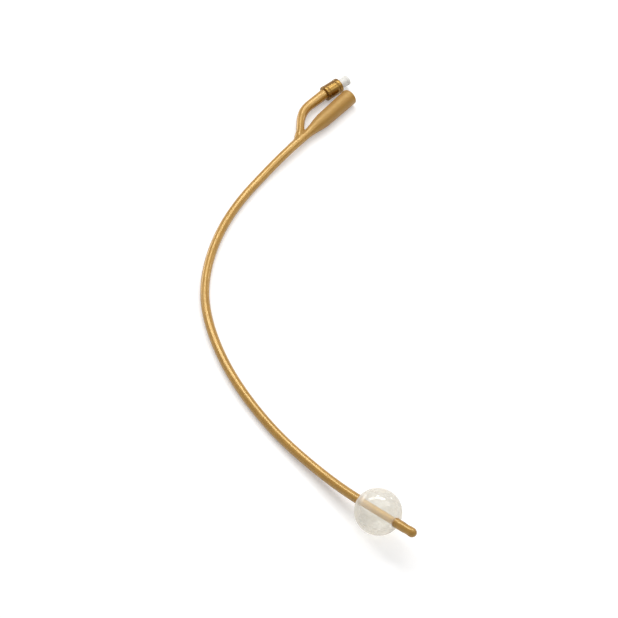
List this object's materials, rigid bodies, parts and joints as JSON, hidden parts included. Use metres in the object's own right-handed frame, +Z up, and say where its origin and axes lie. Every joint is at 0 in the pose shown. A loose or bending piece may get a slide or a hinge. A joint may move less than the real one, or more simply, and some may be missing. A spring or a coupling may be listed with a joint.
{
  "type": "urinary catheter",
  "caption": "Soft tube catheter lying in a loose curve, with an inflated retention balloon by the rounded tip, a drainage funnel and an inflation arm with a syringe valve.",
  "frame": {"origin": "on the table at the middle of the balloon's flat spot, under the balloon's centre", "axes": "+Z up from the table; +Y along the drainage funnel, out of its mouth; the curved shaft leaves the balloon towards -X"},
  "size_m": [0.254, 0.2585, 0.0248],
  "materials": {
    "latex": "glossy amber latex with a thin silicone coat, satin on the funnel",
    "balloon": "thin milky-clear film, glossy",
    "collar": "dark amber rubber, glossy",
    "housing": "white translucent moulded plastic",
    "tail": "white moulded plastic",
    "stem": "natural moulded plastic",
    "seal": "soft grey rubber",
    "spring": "bright stainless wire"
  },
  "bodies": {
    "catheter": {"latex_body": "latex", "inflation_balloon": "balloon", "valve_collar": "collar", "valve_housing": "housing", "valve_tail": "tail", "valve_spring": "spring"},
    "plunger": {"valve_stem": "stem", "valve_seal": "seal"}
  },
  "joints": [
    {"name": "valve_press", "type": "slide", "parent": "catheter", "child": "plunger", "axis": [-0.165, -0.9863, 0], "range_m": [0, 0.0015], "stiffness_N_per_m": 300, "deforming": ["valve_spring"]}
  ]
}
